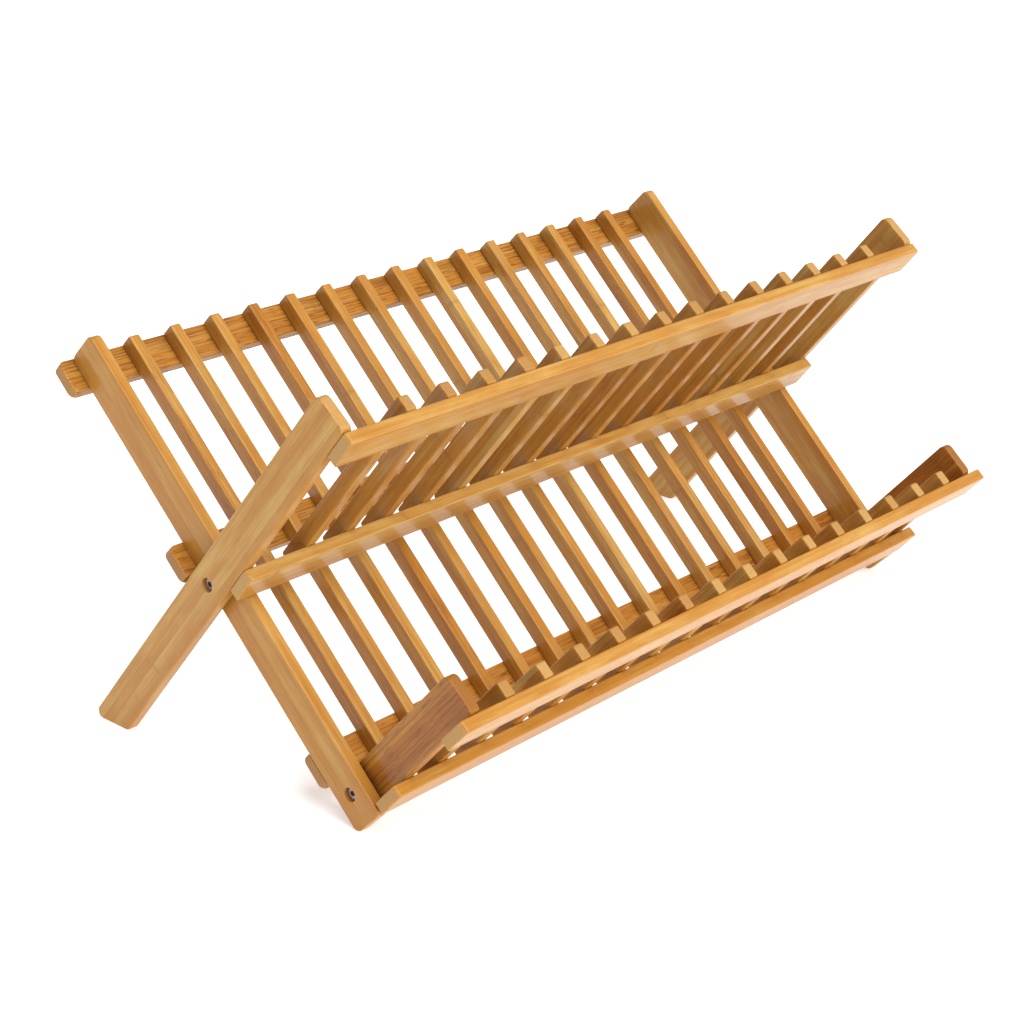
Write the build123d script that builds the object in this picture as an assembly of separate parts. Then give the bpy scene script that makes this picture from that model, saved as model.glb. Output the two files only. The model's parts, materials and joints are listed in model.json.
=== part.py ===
from build123d import *
import os
from math import acos, atan2, cos, degrees, hypot, radians, sin

# Folding two-tier bamboo plate rack, standing open. Three slatted panels:
#   main panel   leans back from the front feet up to the top rear edge
#   upper rack   crosses the main panel at its middle; its long legs are the rear feet
#   lower rack   short panel that opens forward from the foot of the main panel
# Each panel is drawn flat first: X across the rack, Y along the boards, Z out of the
# panel's front face, with the panel's own pivot at the origin. It is then turned about X.

# ---------------------------------------------------------------- driving dimensions (mm)
OVERALL_WIDTH = 500.0       # over the outer faces of the rear legs
BOARD_DEPTH = 23.5          # rails, legs and arms, front edge to back edge
BOARD_THICKNESS = 7.0
RAIL_REACH = 149.0          # main pivot to either end of a main rail
LEG_REACH = 149.5           # main pivot to either end of a rear leg
LOWER_PIVOT_RISE = 18.0     # foot of a main rail to the lower pivot
ARM_REACH = 101.0           # lower pivot to the top of a lower arm
ARM_HEEL = 15.0             # lower pivot to the heel of a lower arm
UPPER_ANGLE = 84.7          # between main panel and upper rack when open
LOWER_ANGLE = 87.0          # between main panel and lower rack when open

BAR_WIDTH = 20.0            # crossbars, measured along the panel
BAR_THICKNESS = 7.0
SLAT_COUNT = 15             # slats in each panel
SLAT_THICKNESS = 7.0
SLAT_DEPTH = 9.5
END_SLOT = 30.7             # inner face of a main rail to the middle of the first slat

BOARD_CORNER = 4.0          # rounded ends of rails, legs and arms
MAIN_BAR_CORNER = 4.0       # rounded corners at the ends of the main crossbars
RACK_BAR_CORNER = 2.0       # and of the crossbars of the two racks
SLAT_CORNER = 1.5
EDGE_EASE = 0.9             # sanded long edges of every board

BOLT_RADIUS = 2.5
HEAD_RADIUS = 3.2
HEAD_HEIGHT = 2.4
SOCKET_RADIUS = 1.7         # to the corners of the hexagon socket
SOCKET_DEPTH = 1.5
WASHER_RADIUS = 6.5
WASHER_THICKNESS = 2.0

FOLD_GAP = 0.4              # between faces that lie on each other when folded flat
STOP_GAP = 0.3              # between a main crossbar and the board that comes to rest on it
BAR_STANDOFF = 1.3          # between an open rack's lower crossbar and the main rails
WASHER_PLAY = 0.3           # between a washer and the board that turns on it
RUNNING_CLEARANCE = 0.06    # radial, bolt shank in a board that turns
WASHER_CLEARANCE = 0.2      # radial, washer on its bolt
HEAD_CLEARANCE = 0.8        # radial, bolt head in its counterbore
HEAD_SINK = 2.0             # bolt head below the face of the board
UNDER_HEAD_GAP = 0.4        # between a bolt head and the leg that turns under it
BOLT_END_WALL = 1.3         # wood left beyond the end of a bolt
DRILL_RUNOUT = 0.3          # blind hole beyond the end of its bolt

# ---------------------------------------------------------------- worked-out places
HALF_DEPTH = BOARD_DEPTH / 2
TURN_GAP = WASHER_THICKNESS + WASHER_PLAY
LEG_OUTER = OVERALL_WIDTH / 2
RAIL_OUTER = LEG_OUTER - BOARD_THICKNESS - TURN_GAP
ARM_OUTER = RAIL_OUTER - BOARD_THICKNESS - TURN_GAP
SLAT_PITCH = 2 * (RAIL_OUTER - BOARD_THICKNESS - END_SLOT) / (SLAT_COUNT - 1)
LOWER_PIVOT_DROP = RAIL_REACH - LOWER_PIVOT_RISE
BOLT_SHANK = 2 * BOARD_THICKNESS + TURN_GAP - HEAD_SINK - HEAD_HEIGHT - BOLT_END_WALL

# The racks sit a fold gap forward of their pivots, so that folded flat they clear the
# main rails in front and the main crossbars behind by the same amount.
RACK_BACK = FOLD_GAP - HALF_DEPTH
RACK_FRONT = FOLD_GAP + HALF_DEPTH


def rack_bar_start(angle):
    """Pivot to the near edge of the rack crossbar that stands in front of the main rails."""
    turn = radians(angle)
    return (HALF_DEPTH + BAR_STANDOFF - RACK_FRONT * cos(turn)) / sin(turn)


def main_bar_start(angle):
    """Pivot to the near edge of the main crossbar that the turning board comes to rest on."""
    turn = radians(angle)
    return (-RACK_BACK - HALF_DEPTH * cos(turn)) / sin(turn) + STOP_GAP


def main_panel_lean():
    """Lean of the main panel above the floor that puts its round feet and the legs' flat feet level."""
    turn = radians(UPPER_ANGLE)
    along = BOARD_CORNER - RAIL_REACH + LEG_REACH * cos(turn) + RACK_BACK * sin(turn)
    across = BOARD_CORNER - HALF_DEPTH + LEG_REACH * sin(turn) - RACK_BACK * cos(turn)
    return degrees(atan2(along, across) + acos(BOARD_CORNER / hypot(along, across)))


MAIN_LEAN = main_panel_lean()
UPPER_LEAN = MAIN_LEAN + UPPER_ANGLE
LOWER_LEAN = MAIN_LEAN + LOWER_ANGLE
PIVOT_HEIGHT = LEG_REACH * sin(radians(UPPER_LEAN)) - RACK_BACK * cos(radians(UPPER_LEAN))
BOTTOM_BAR_START = main_bar_start(LOWER_ANGLE) - LOWER_PIVOT_DROP


# ---------------------------------------------------------------- wooden pieces
def ease_outline(solid, axis):
    """Round the outline edges of the two faces square to the axis."""
    faces = solid.faces().filter_by(axis)
    outer = ShapeList([faces.sort_by(axis)[0], faces.sort_by(axis)[-1]])
    return fillet(outer.edges(), EDGE_EASE)


def board(outline, corner, thickness, middle):
    """Board on edge: a Y-Z outline with rounded corners, given a thickness across X."""
    profile = Polygon(*outline, align=None)
    profile = fillet(profile.vertices(), corner)
    solid = extrude(Plane.YZ.offset(middle - thickness / 2) * profile, thickness)
    return ease_outline(solid, Axis.X)


def box_outline(start, end, back, front):
    return [(start, back), (end, back), (end, front), (start, front)]


def slat(middle, start, end, back):
    outline = box_outline(start, end, back, back + SLAT_DEPTH)
    return board(outline, SLAT_CORNER, SLAT_THICKNESS, middle)


def crossbar(half_length, start, back, corner):
    """Flat bar across the panel, from start to a bar width beyond it."""
    profile = RectangleRounded(2 * half_length, BAR_WIDTH, corner)
    middle = Pos(0, start + BAR_WIDTH / 2, back)
    return ease_outline(extrude(middle * profile, BAR_THICKNESS), Axis.Z)


def slat_row(name, start, end, back):
    """All slats of a panel, evenly spaced between the main rails."""
    first = -SLAT_PITCH * (SLAT_COUNT - 1) / 2
    return {
        f"{name}_slat_{i + 1:02d}": slat(first + i * SLAT_PITCH, start, end, back)
        for i in range(SLAT_COUNT)
    }


def hole(radius, start, end, along=0.0):
    """Round cutter across X between two places, at a place along the board."""
    low, high = min(start, end), max(start, end)
    return Pos(low, along, 0) * extrude(Plane.YZ * Circle(radius), high - low)


# ---------------------------------------------------------------- pivot hardware
def head_seat(face):
    """Place of the underside of a bolt head sunk into a board's outer face."""
    return face - HEAD_SINK - HEAD_HEIGHT


def pivot_bolt(seat):
    """Socket-head bolt lying along X, head outwards, with its underside at seat."""
    head = extrude(Plane.YZ.offset(seat) * Circle(HEAD_RADIUS), HEAD_HEIGHT)
    shank = extrude(Plane.YZ.offset(seat - BOLT_SHANK) * Circle(BOLT_RADIUS), BOLT_SHANK)
    socket_plane = Plane.YZ.offset(seat + HEAD_HEIGHT - SOCKET_DEPTH)
    socket = extrude(socket_plane * RegularPolygon(SOCKET_RADIUS, 6), SOCKET_DEPTH)
    return head + shank - socket


def washer(inner_face):
    ring = Circle(WASHER_RADIUS) - Circle(BOLT_RADIUS + WASHER_CLEARANCE)
    return extrude(Plane.YZ.offset(inner_face) * ring, WASHER_THICKNESS)


MAIN_BOLT_SEAT = head_seat(LEG_OUTER)
LOWER_BOLT_SEAT = head_seat(RAIL_OUTER)


def counterbore(face, floor, along=0.0):
    return hole(HEAD_RADIUS + HEAD_CLEARANCE, floor, face, along)


# ---------------------------------------------------------------- right-hand boards
def main_rail():
    outline = box_outline(-RAIL_REACH, RAIL_REACH, -HALF_DEPTH, HALF_DEPTH)
    rail = board(outline, BOARD_CORNER, BOARD_THICKNESS, RAIL_OUTER - BOARD_THICKNESS / 2)
    rail -= hole(BOLT_RADIUS, MAIN_BOLT_SEAT - BOLT_SHANK - DRILL_RUNOUT, RAIL_OUTER)
    rail -= hole(BOLT_RADIUS, RAIL_OUTER - BOARD_THICKNESS, RAIL_OUTER, -LOWER_PIVOT_DROP)
    rail -= counterbore(RAIL_OUTER, LOWER_BOLT_SEAT, -LOWER_PIVOT_DROP)
    return rail


def upper_leg():
    """Leg of the upper rack, its foot cut level with the floor when the rack is open."""
    foot_rise = BOARD_DEPTH * cos(radians(UPPER_LEAN)) / sin(radians(UPPER_LEAN))
    outline = [
        (-LEG_REACH, RACK_BACK),
        (LEG_REACH, RACK_BACK),
        (LEG_REACH, RACK_FRONT),
        (-LEG_REACH - foot_rise, RACK_FRONT),
    ]
    leg = board(outline, BOARD_CORNER, BOARD_THICKNESS, LEG_OUTER - BOARD_THICKNESS / 2)
    leg -= hole(BOLT_RADIUS + RUNNING_CLEARANCE, LEG_OUTER - BOARD_THICKNESS, LEG_OUTER)
    leg -= counterbore(LEG_OUTER, MAIN_BOLT_SEAT - UNDER_HEAD_GAP)
    return leg


def lower_arm():
    outline = box_outline(-ARM_HEEL, ARM_REACH, RACK_BACK, RACK_FRONT)
    arm = board(outline, BOARD_CORNER, BOARD_THICKNESS, ARM_OUTER - BOARD_THICKNESS / 2)
    hole_end = LOWER_BOLT_SEAT - BOLT_SHANK - DRILL_RUNOUT
    arm -= hole(BOLT_RADIUS + RUNNING_CLEARANCE, hole_end, ARM_OUTER)
    return arm


def pair(name, right):
    return {f"{name}_right": right, f"{name}_left": mirror(right, Plane.YZ)}


# ---------------------------------------------------------------- panels, drawn flat
def main_panel():
    bars = {
        "main_top_bar": (LEG_OUTER, RAIL_REACH - BAR_WIDTH),
        "main_middle_bar": (LEG_OUTER, main_bar_start(UPPER_ANGLE)),
        "main_bottom_bar": (RAIL_OUTER, BOTTOM_BAR_START),
    }
    pieces = pair("main_rail", main_rail())
    for name, (half_length, start) in bars.items():
        back = -HALF_DEPTH - BAR_THICKNESS
        pieces[name] = crossbar(half_length, start, back, MAIN_BAR_CORNER)
    pieces.update(slat_row("main", BOTTOM_BAR_START, RAIL_REACH, -HALF_DEPTH))
    pieces.update(pivot_hardware())
    return pieces


def pivot_hardware():
    """Four equal bolts and washers: legs turn outside the rails, arms turn inside them."""
    lower = Pos(0, -LOWER_PIVOT_DROP, 0)
    bolts = [pivot_bolt(MAIN_BOLT_SEAT), lower * pivot_bolt(LOWER_BOLT_SEAT)]
    washers = [washer(RAIL_OUTER), lower * washer(ARM_OUTER + WASHER_PLAY)]
    return {
        "pivot_bolts": Compound(bolts + [mirror(bolt, Plane.YZ) for bolt in bolts]),
        "pivot_washers": Compound(washers + [mirror(ring, Plane.YZ) for ring in washers]),
    }


def rack_panel(name, boards, half_length, reach, angle):
    """Rack whose slats lie behind two crossbars that are glued to the front of its boards."""
    first_bar = rack_bar_start(angle)
    pieces = dict(boards)
    for bar, start in (("top", reach - BAR_WIDTH), ("bottom", first_bar)):
        pieces[f"{name}_{bar}_bar"] = crossbar(half_length, start, RACK_FRONT, RACK_BAR_CORNER)
    pieces.update(slat_row(name, first_bar, reach, RACK_FRONT - SLAT_DEPTH))
    return pieces


# ---------------------------------------------------------------- assembly
def place(pieces, location):
    return {name: location * piece for name, piece in pieces.items()}


main_place = Pos(0, 0, PIVOT_HEIGHT) * Rot(MAIN_LEAN, 0, 0)
upper_place = Pos(0, 0, PIVOT_HEIGHT) * Rot(UPPER_LEAN, 0, 0)
lower_place = main_place * Pos(0, -LOWER_PIVOT_DROP, 0) * Rot(LOWER_ANGLE, 0, 0)

upper_boards = pair("upper_leg", upper_leg())
lower_boards = pair("lower_arm", lower_arm())
parts = {}
parts.update(place(main_panel(), main_place))
parts.update(place(
    rack_panel("upper", upper_boards, LEG_OUTER, LEG_REACH, UPPER_ANGLE), upper_place))
parts.update(place(
    rack_panel("lower", lower_boards, RAIL_OUTER, ARM_REACH, LOWER_ANGLE), lower_place))

# The origin is on the floor, under the middle of the standing rack.
bounds = Compound(list(parts.values())).bounding_box()
centre = Pos(0, -(bounds.min.Y + bounds.max.Y) / 2, 0)

os.makedirs("parts", exist_ok=True)
for name, piece in parts.items():
    export_step(centre * piece, f"parts/{name}.step")

main_pivot = centre * main_place
lower_pivot = centre * lower_place
print("main panel lean", round(MAIN_LEAN, 3), "upper rack lean", round(UPPER_LEAN, 3))
print("lower rack lean", round(LOWER_LEAN, 3), "slat pitch", round(SLAT_PITCH, 3))
print("main pivot", main_pivot.position, "lower pivot", lower_pivot.position)
print("overall", bounds.size, "floor", round(bounds.min.Z, 4))
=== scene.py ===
import bpy
import json
import math
import random
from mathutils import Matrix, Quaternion, Vector


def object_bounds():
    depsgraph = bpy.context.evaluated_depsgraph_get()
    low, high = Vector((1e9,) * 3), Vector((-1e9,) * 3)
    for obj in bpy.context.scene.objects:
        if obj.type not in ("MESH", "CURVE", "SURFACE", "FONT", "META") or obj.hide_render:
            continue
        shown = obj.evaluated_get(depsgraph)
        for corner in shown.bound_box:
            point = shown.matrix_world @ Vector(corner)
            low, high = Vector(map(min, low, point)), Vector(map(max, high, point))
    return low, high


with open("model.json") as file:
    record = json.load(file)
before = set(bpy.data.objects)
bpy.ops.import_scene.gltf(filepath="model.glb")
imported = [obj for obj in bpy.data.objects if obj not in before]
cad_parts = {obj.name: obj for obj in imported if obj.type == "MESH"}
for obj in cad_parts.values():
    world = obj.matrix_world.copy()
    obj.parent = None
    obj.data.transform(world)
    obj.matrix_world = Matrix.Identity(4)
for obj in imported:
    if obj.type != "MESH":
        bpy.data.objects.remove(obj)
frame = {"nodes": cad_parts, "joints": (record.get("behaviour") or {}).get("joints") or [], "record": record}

cad_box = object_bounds()

# ---------------------------------------------------------------- camera
# It looks at a point near the middle of the rack, and its frame is turned a little about
# the line of sight. Metres, and millimetres for the lens.
VIEW_AZIMUTH = math.radians(-48.84)
VIEW_ELEVATION = math.radians(21.67)
VIEW_ROLL = math.radians(1.13)
VIEW_DISTANCE = 1.2888
VIEW_AIM_OFFSET = Vector((-0.0261, 0.0144, -0.0257))
LENS = 76.98
SENSOR_WIDTH = 36.0
CLIP_END = 50

# ---------------------------------------------------------------- light
WORLD_LIGHT = 0.45
SPREAD = math.radians(50)   # how broad each light is in the sky
KEY_STRENGTH = 3.0          # from above and in front
KEY_FROM = Vector((-0.06, -0.60, 0.80))
FILL_STRENGTH = 1.9         # low, from the front
FILL_FROM = Vector((0.15, -0.98, 0.08))

FLOOR_HALF = 12
FLOOR_COLOUR = (0.9, 0.9, 0.9, 1)
FLOOR_ROUGHNESS = 0.9
FLOOR_SPECULAR = 0.1
FLOOR_GLOW = 0.42           # the floor gives light itself, so shadows on it stay faint

# ---------------------------------------------------------------- bamboo
PALE = (0.545, 0.335, 0.094, 1)
HONEY = (0.43, 0.185, 0.026, 1)
AMBER = (0.32, 0.100, 0.009, 1)
FIBRE = (0.13, 0.030, 0.004, 1)
KNUCKLE = (0.22, 0.09, 0.02, 1)
END_PALE = (0.46, 0.27, 0.09, 1)
END_AMBER = (0.24, 0.085, 0.016, 1)
END_BUNDLE = (0.16, 0.065, 0.018, 1)

STRIP_WIDTH = 0.0063        # laminated strips across a board
GLUE_EDGE = 0.045           # half a glue joint, as a share of a strip
KNUCKLE_SPACING = 0.23      # between the knuckles along a strip
KNUCKLE_LENGTH = 0.0022
KNUCKLE_WOBBLE = 0.012      # how unevenly a knuckle crosses its strip
HALO_SPREAD = 5             # the soft band round a knuckle, in knuckle lengths
SEED_SHIFT = 40.0           # moves the pattern on from board to board
STRIP_SHIFT = 9.0           # and from strip to strip
KNUCKLE_SHIFT = 5.0

# Noises drawn out along the grain: changes per metre across it and along it, an offset
# that keeps them apart, and their detail.
CLOUDS = (70.0, 22.0, 3.0, 3.0)
STREAKS = (520.0, 9.0, 11.0, 4.0)
FIBRES = (1000.0, 24.0, 23.0, 3.0)
DASHES = (820.0, 70.0, 51.0, 2.0)
GRAIN_ROUGHNESS = 0.6

# How far each of these moves the tone between amber and pale.
STREAK_TONE = 0.80
FIBRE_TONE = 0.50
STRIP_TONE = 0.26
CLOUD_TONE = 0.75
BOARD_TONE = 0.75

# How strongly each mark covers the wood under it.
LINE_COVER = 0.72
DASH_COVER = 0.85
FIGURE_COVER = 0.88         # of the fibres, on the most figured board
LEAST_COVER = 0.10          # and on the plainest
GLUE_COVER = 0.20
HALO_COVER = 0.14
KNUCKLE_COVER = 0.28
BUNDLE_COVER = 0.30
END_CLOUD_COVER = 0.4
BUNDLES_PER_METRE = 1500.0

WOOD_ROUGHNESS = 0.36
STREAK_ROUGHNESS = 0.20
END_ROUGHNESS = 0.15
WOOD_SPECULAR = 0.15
BUMP_DISTANCE = 0.0004
FIBRE_BUMP = 0.30
COAT_BUMP = 0.12
COAT_WEIGHT = 0.34
COAT_ROUGHNESS = 0.13
COAT_IOR = 1.5

# Ranges from board to board: tone, from 0 amber to 1 pale, and how much the fibres show.
BOARD_LOOKS = {
    "main_bar": ((0.30, 0.42), (0.85, 1.0)),
    "arm": ((0.05, 0.15), (0.75, 0.9)),
    "side_board": ((0.62, 0.75), (0.05, 0.2)),
    "rack_bar": ((0.55, 0.75), (0.05, 0.2)),
    "slat": ((0.40, 0.75), (0.12, 0.45)),
    "hardware": ((0.40, 0.75), (0.05, 0.2)),
}
BOARD_DICE = 7

# ---------------------------------------------------------------- hardware
STEEL = (0.42, 0.33, 0.33, 1)
STEEL_ROUGHNESS = 0.35
STEEL_GRIME = 0.55          # colour left in its dirty places
STEEL_FINE = 900.0          # changes per metre
STEEL_BROAD = 160.0
STEEL_BUMP = 0.15
STEEL_BUMP_DISTANCE = 0.0001
NYLON = (0.72, 0.70, 0.62, 1)
NYLON_ROUGHNESS = 0.4
NYLON_DUST = 0.8
NYLON_FINE = 600.0
HARDWARE_UNEVEN = 0.2       # how much the roughness varies


def make_camera():
    low, high = cad_box
    aim = (low + high) / 2 + VIEW_AIM_OFFSET
    back = Vector((
        math.sin(VIEW_AZIMUTH) * math.cos(VIEW_ELEVATION),
        -math.cos(VIEW_AZIMUTH) * math.cos(VIEW_ELEVATION),
        math.sin(VIEW_ELEVATION),
    ))
    camera = bpy.data.objects.new("camera", bpy.data.cameras.new("camera"))
    bpy.context.scene.collection.objects.link(camera)
    camera.data.lens = LENS
    camera.data.sensor_width = SENSOR_WIDTH
    camera.data.clip_end = CLIP_END
    camera.location = aim + back * VIEW_DISTANCE
    camera.rotation_mode = "QUATERNION"
    level = (-back).to_track_quat("-Z", "Y")
    camera.rotation_quaternion = level @ Quaternion((0, 0, 1), VIEW_ROLL)
    bpy.context.scene.camera = camera


def broad_light(name, strength, direction):
    lamp = bpy.data.lights.new(name, "SUN")
    lamp.energy = strength
    lamp.angle = SPREAD
    holder = bpy.data.objects.new(name, lamp)
    bpy.context.scene.collection.objects.link(holder)
    holder.rotation_mode = "QUATERNION"
    holder.rotation_quaternion = direction.to_track_quat("Z", "Y")


def make_studio():
    world = bpy.data.worlds.new("studio")
    world.use_nodes = True
    sky = world.node_tree.nodes["Background"]
    sky.inputs["Color"].default_value = (1, 1, 1, 1)
    sky.inputs["Strength"].default_value = WORLD_LIGHT
    bpy.context.scene.world = world
    broad_light("key", KEY_STRENGTH, KEY_FROM)
    broad_light("fill", FILL_STRENGTH, FILL_FROM)

    mesh = bpy.data.meshes.new("floor")
    corners = [(x * FLOOR_HALF, y * FLOOR_HALF, 0) for x, y in ((-1, -1), (1, -1), (1, 1), (-1, 1))]
    mesh.from_pydata(corners, [], [(0, 1, 2, 3)])
    floor = bpy.data.objects.new("floor", mesh)
    bpy.context.scene.collection.objects.link(floor)
    paint = bpy.data.materials.new("floor")
    paint.use_nodes = True
    shader = paint.node_tree.nodes["Principled BSDF"]
    shader.inputs["Base Color"].default_value = FLOOR_COLOUR
    shader.inputs["Roughness"].default_value = FLOOR_ROUGHNESS
    shader.inputs["Specular IOR Level"].default_value = FLOOR_SPECULAR
    shader.inputs["Emission Color"].default_value = (1, 1, 1, 1)
    shader.inputs["Emission Strength"].default_value = FLOOR_GLOW
    mesh.materials.append(paint)


def darker(colour, share):
    return tuple(channel * share for channel in colour[:3]) + (1,)


class Graph:
    """Short calls for building a material's nodes."""

    def __init__(self, name):
        self.material = bpy.data.materials.new(name)
        self.material.use_nodes = True
        self.tree = self.material.node_tree
        self.shader = self.tree.nodes["Principled BSDF"]

    def node(self, kind, inputs, **settings):
        """A new node, with inputs by name or number, each a value or a socket to link."""
        made = self.tree.nodes.new(kind)
        for key, value in settings.items():
            setattr(made, key, value)
        self.feed(made, inputs)
        return made

    def feed(self, node, inputs):
        for key, value in inputs.items():
            if isinstance(value, bpy.types.NodeSocket):
                self.tree.links.new(value, node.inputs[key])
            else:
                node.inputs[key].default_value = value

    def coordinates(self, kind):
        return self.node("ShaderNodeTexCoord", {}).outputs[kind]

    def math(self, operation, first, second=0.0, third=0.0):
        inputs = {0: first, 1: second, 2: third}
        return self.node("ShaderNodeMath", inputs, operation=operation).outputs[0]

    def ramp(self, value, low, high, to_low=0.0, to_high=1.0):
        inputs = {0: value, 1: low, 2: high, 3: to_low, 4: to_high}
        return self.node("ShaderNodeMapRange", inputs, interpolation_type="SMOOTHSTEP").outputs[0]

    def vector(self, x, y, z):
        return self.node("ShaderNodeCombineXYZ", {0: x, 1: y, 2: z}).outputs[0]

    def split(self, vector):
        return self.node("ShaderNodeSeparateXYZ", {0: vector}).outputs

    def scaled(self, vector, scale):
        inputs = {"Vector": vector, "Scale": scale}
        return self.node("ShaderNodeVectorMath", inputs, operation="SCALE").outputs[0]

    def turned(self, vector, angle):
        inputs = {"Vector": vector, "Angle": angle}
        return self.node("ShaderNodeVectorRotate", inputs, rotation_type="X_AXIS").outputs[0]

    def noise(self, vector, detail, roughness=0.5):
        inputs = {"Vector": vector, "Scale": 1.0, "Detail": detail, "Roughness": roughness}
        return self.node("ShaderNodeTexNoise", inputs).outputs["Fac"]

    def random(self, vector):
        inputs = {"Vector": vector}
        return self.node("ShaderNodeTexWhiteNoise", inputs, noise_dimensions="3D").outputs["Value"]

    def mix(self, amount, first, second):
        """Mixes two colours; a mix node's colour inputs are numbers 6 and 7."""
        inputs = {0: amount, 6: first, 7: second}
        return self.node("ShaderNodeMix", inputs, data_type="RGBA").outputs[2]

    def bump(self, height, strength, distance):
        inputs = {"Height": height, "Strength": strength, "Distance": distance}
        return self.node("ShaderNodeBump", inputs).outputs[0]


def bamboo(name, lean, across_panel):
    """Laminated bamboo with its grain along a leaning board, or across the panel in X.

    The object's colour carries what differs from board to board: tone, how much the dark
    fibres show, and a seed.
    """
    g = Graph(name)
    x, y, z = g.split(g.turned(g.coordinates("Object"), -lean))
    along, wide, thick = (x, y, z) if across_panel else (y, z, x)
    own_colour = g.node("ShaderNodeObjectInfo", {}).outputs["Color"]
    tone, figure, seed = g.node("ShaderNodeSeparateColor", {0: own_colour}).outputs
    shift = g.math("MULTIPLY", seed, SEED_SHIFT)

    # Strips of slightly different culms, glued side by side.
    strip_place = g.math("ADD", g.math("DIVIDE", wide, STRIP_WIDTH), shift)
    strip = g.math("FLOOR", strip_place)
    strip_tone = g.random(g.vector(strip, seed, 1.7))
    strip_seed = g.random(g.vector(strip, seed, 7.3))
    in_strip = g.math("FRACT", strip_place)
    joint_near = g.math("MINIMUM", in_strip, g.math("SUBTRACT", 1.0, in_strip))
    glue = g.ramp(joint_near, 0.0, GLUE_EDGE, 1.0, 0.0)

    def grain(across_scale, along_scale, offset, detail):
        place = g.vector(
            g.math("MULTIPLY_ADD", along, along_scale, offset),
            g.math("MULTIPLY_ADD", wide, across_scale, g.math("MULTIPLY", strip_seed, STRIP_SHIFT)),
            g.math("MULTIPLY_ADD", thick, across_scale, shift),
        )
        return g.noise(place, detail, GRAIN_ROUGHNESS)

    clouds, streaks, fibres, dashes = [grain(*noise) for noise in (CLOUDS, STREAKS, FIBRES, DASHES)]

    # Knuckles: soft darker bands across some of the strips.
    strip_start = g.math("MULTIPLY", strip_seed, KNUCKLE_SHIFT)
    walk = g.math("ADD", g.math("DIVIDE", along, KNUCKLE_SPACING), strip_start)
    uneven = g.math("MULTIPLY_ADD", g.math("SUBTRACT", clouds, 0.5), KNUCKLE_WOBBLE, walk)
    knuckle_off = g.math("ABSOLUTE", g.math("SUBTRACT", g.math("FRACT", uneven), 0.5))
    reach = KNUCKLE_LENGTH / KNUCKLE_SPACING
    shown = g.ramp(strip_tone, 0.62, 0.75)
    knuckle = g.math("MULTIPLY", g.ramp(knuckle_off, 0.0, reach, 1.0, 0.0), shown)
    halo = g.math("MULTIPLY", g.ramp(knuckle_off, 0.0, reach * HALO_SPREAD, 1.0, 0.0), shown)

    # Tone from amber through honey to pale.
    level = 0.5
    for value, weight in (
        (streaks, STREAK_TONE),
        (fibres, FIBRE_TONE),
        (strip_tone, STRIP_TONE),
        (clouds, CLOUD_TONE),
        (tone, BOARD_TONE),
    ):
        level = g.math("MULTIPLY_ADD", g.math("SUBTRACT", value, 0.5), weight, level)
    colour = g.mix(g.ramp(level, 0.0, 0.5), AMBER, HONEY)
    colour = g.mix(g.ramp(level, 0.45, 1.0), colour, PALE)

    # Dark fibres in long lines and short dashes, strongest on the most figured boards.
    lines = g.ramp(fibres, 0.46, 0.64)
    marks = g.ramp(dashes, 0.56, 0.68)
    dark = g.math("MAXIMUM", g.math("MULTIPLY", lines, LINE_COVER), g.math("MULTIPLY", marks, DASH_COVER))
    dark = g.math("MULTIPLY", dark, g.math("MULTIPLY_ADD", figure, FIGURE_COVER, LEAST_COVER))
    colour = g.mix(dark, colour, FIBRE)
    colour = g.mix(g.math("MULTIPLY", glue, GLUE_COVER), colour, AMBER)
    colour = g.mix(g.math("MULTIPLY", halo, HALO_COVER), colour, AMBER)
    colour = g.mix(g.math("MULTIPLY", knuckle, KNUCKLE_COVER), colour, KNUCKLE)

    # End grain, with small darker vessel bundles.
    side = g.split(g.turned(g.coordinates("Normal"), -lean))
    end_on = g.math("ABSOLUTE", side[0] if across_panel else side[1])
    is_end = g.ramp(end_on, 0.75, 0.92)
    cells = {"Vector": g.vector(wide, thick, seed), "Scale": BUNDLES_PER_METRE}
    bundles = g.node("ShaderNodeTexVoronoi", cells, feature="F1").outputs["Distance"]
    bundle = g.ramp(bundles, 0.15, 0.50, 1.0, 0.0)
    end_colour = g.mix(g.ramp(tone, 0.05, 0.75), END_AMBER, END_PALE)
    end_colour = g.mix(g.math("MULTIPLY", bundle, BUNDLE_COVER), end_colour, END_BUNDLE)
    end_colour = g.mix(g.math("MULTIPLY", clouds, END_CLOUD_COVER), end_colour, HONEY)

    # Sanded, then lacquered: fibres show faintly through the clear coat.
    rough = g.math("MULTIPLY_ADD", streaks, STREAK_ROUGHNESS, WOOD_ROUGHNESS)
    height = g.math("MULTIPLY_ADD", fibres, 0.6, g.math("MULTIPLY", streaks, 0.8))
    height = g.math("SUBTRACT", height, g.math("MULTIPLY", marks, 0.5))
    height = g.math("SUBTRACT", height, g.math("MULTIPLY", glue, 0.3))
    g.feed(g.shader, {
        "Base Color": g.mix(is_end, colour, end_colour),
        "Roughness": g.math("MULTIPLY_ADD", is_end, END_ROUGHNESS, rough),
        "Normal": g.bump(height, FIBRE_BUMP, BUMP_DISTANCE),
        "Coat Normal": g.bump(g.math("ADD", streaks, clouds), COAT_BUMP, BUMP_DISTANCE),
        "Coat Weight": COAT_WEIGHT,
        "Coat Roughness": COAT_ROUGHNESS,
        "Coat IOR": COAT_IOR,
        "Specular IOR Level": WOOD_SPECULAR,
    })
    return g.material


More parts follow.
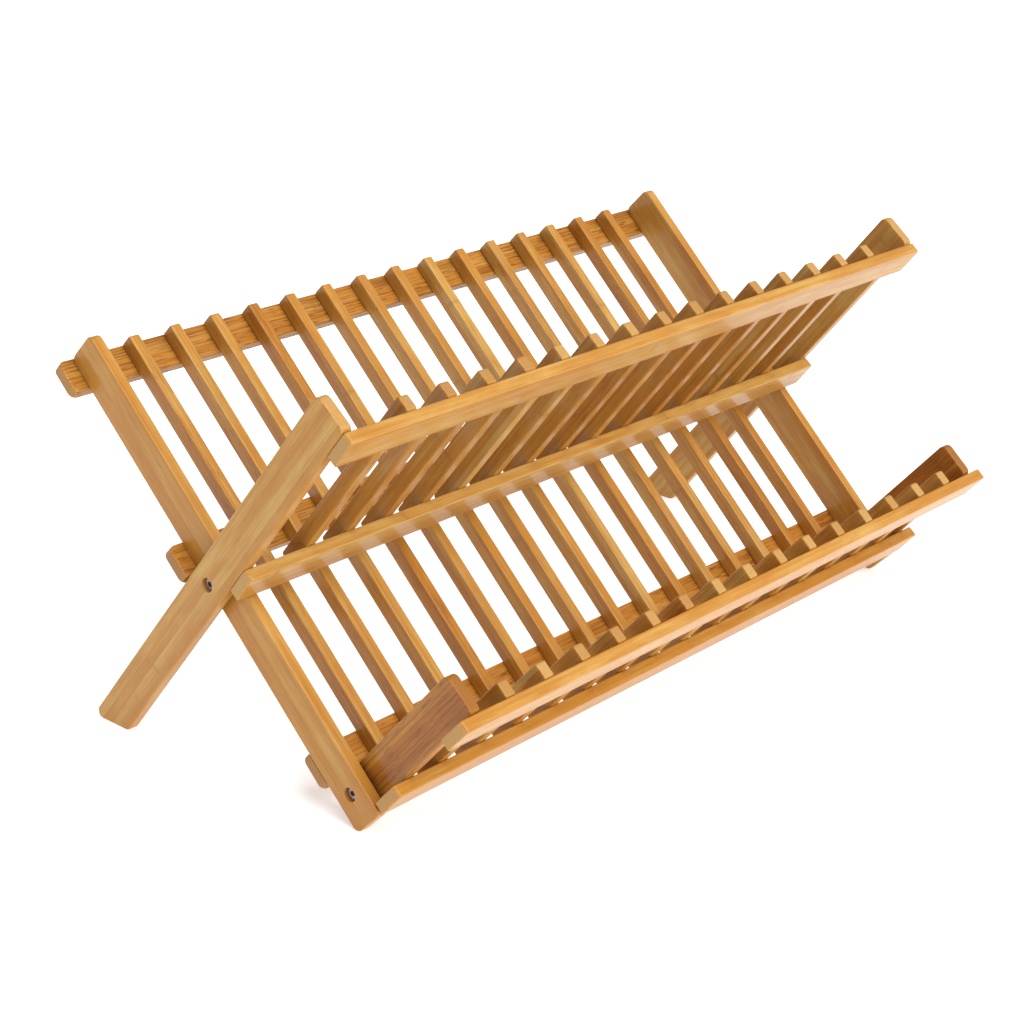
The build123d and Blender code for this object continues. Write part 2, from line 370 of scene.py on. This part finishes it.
def plated_steel(name):
    """Plated steel with fine marks, and dirt in patches."""
    g = Graph(name)
    place = g.coordinates("Object")
    fine = g.noise(g.scaled(place, STEEL_FINE), 3.0)
    broad = g.noise(g.scaled(place, STEEL_BROAD), 2.0)
    g.feed(g.shader, {
        "Base Color": g.mix(g.ramp(broad, 0.35, 0.7), STEEL, darker(STEEL, STEEL_GRIME)),
        "Roughness": g.math("MULTIPLY_ADD", fine, HARDWARE_UNEVEN, STEEL_ROUGHNESS),
        "Normal": g.bump(fine, STEEL_BUMP, STEEL_BUMP_DISTANCE),
        "Metallic": 1.0,
    })
    return g.material


def matte_nylon(name):
    g = Graph(name)
    mottle = g.noise(g.scaled(g.coordinates("Object"), NYLON_FINE), 3.0)
    g.feed(g.shader, {
        "Base Color": g.mix(g.ramp(mottle, 0.35, 0.7), NYLON, darker(NYLON, NYLON_DUST)),
        "Roughness": g.math("MULTIPLY_ADD", mottle, HARDWARE_UNEVEN, NYLON_ROUGHNESS),
    })
    return g.material


def panel_leans():
    """Lean of each panel's boards above the floor, from the places and ranges of the pivots."""
    upper, lower = [
        next(joint for joint in frame["joints"] if joint["child"] == body)
        for body in ("upper_rack", "lower_rack")
    ]
    run = Vector(upper["pos_m"]) - Vector(lower["pos_m"])
    main_lean = math.atan2(run.z, run.y)
    return {
        "main_frame": main_lean,
        "upper_rack": main_lean - math.radians(upper["range_deg"][0]),
        "lower_rack": main_lean - math.radians(lower["range_deg"][0]),
    }


def board_kind(name):
    if name.startswith("lower_arm"):
        return "arm"
    if name.startswith(("upper_leg", "main_rail")):
        return "side_board"
    if name.endswith("_bar"):
        return "main_bar" if name.startswith("main_") else "rack_bar"
    return "slat" if "slat" in name else "hardware"


def dress_rack():
    dice = random.Random(BOARD_DICE)
    hardware = {
        "pivot_bolts": plated_steel("bolt_steel"),
        "pivot_washers": matte_nylon("washer_nylon"),
    }
    for body, lean in panel_leans().items():
        boards = bamboo(f"bamboo_{body}_boards", lean, False)
        bars = bamboo(f"bamboo_{body}_bars", lean, True)
        for name in frame["record"]["behaviour"]["bodies"][body]:
            piece = frame["nodes"][name]
            wood = bars if name.endswith("_bar") else boards
            piece.data.materials.clear()
            piece.data.materials.append(hardware.get(name, wood))
            tone, figure = [dice.uniform(*span) for span in BOARD_LOOKS[board_kind(name)]]
            piece.color = (tone, figure, dice.random(), 1)


make_camera()
make_studio()
dress_rack()
bpy.context.scene.view_settings.view_transform = "Standard"
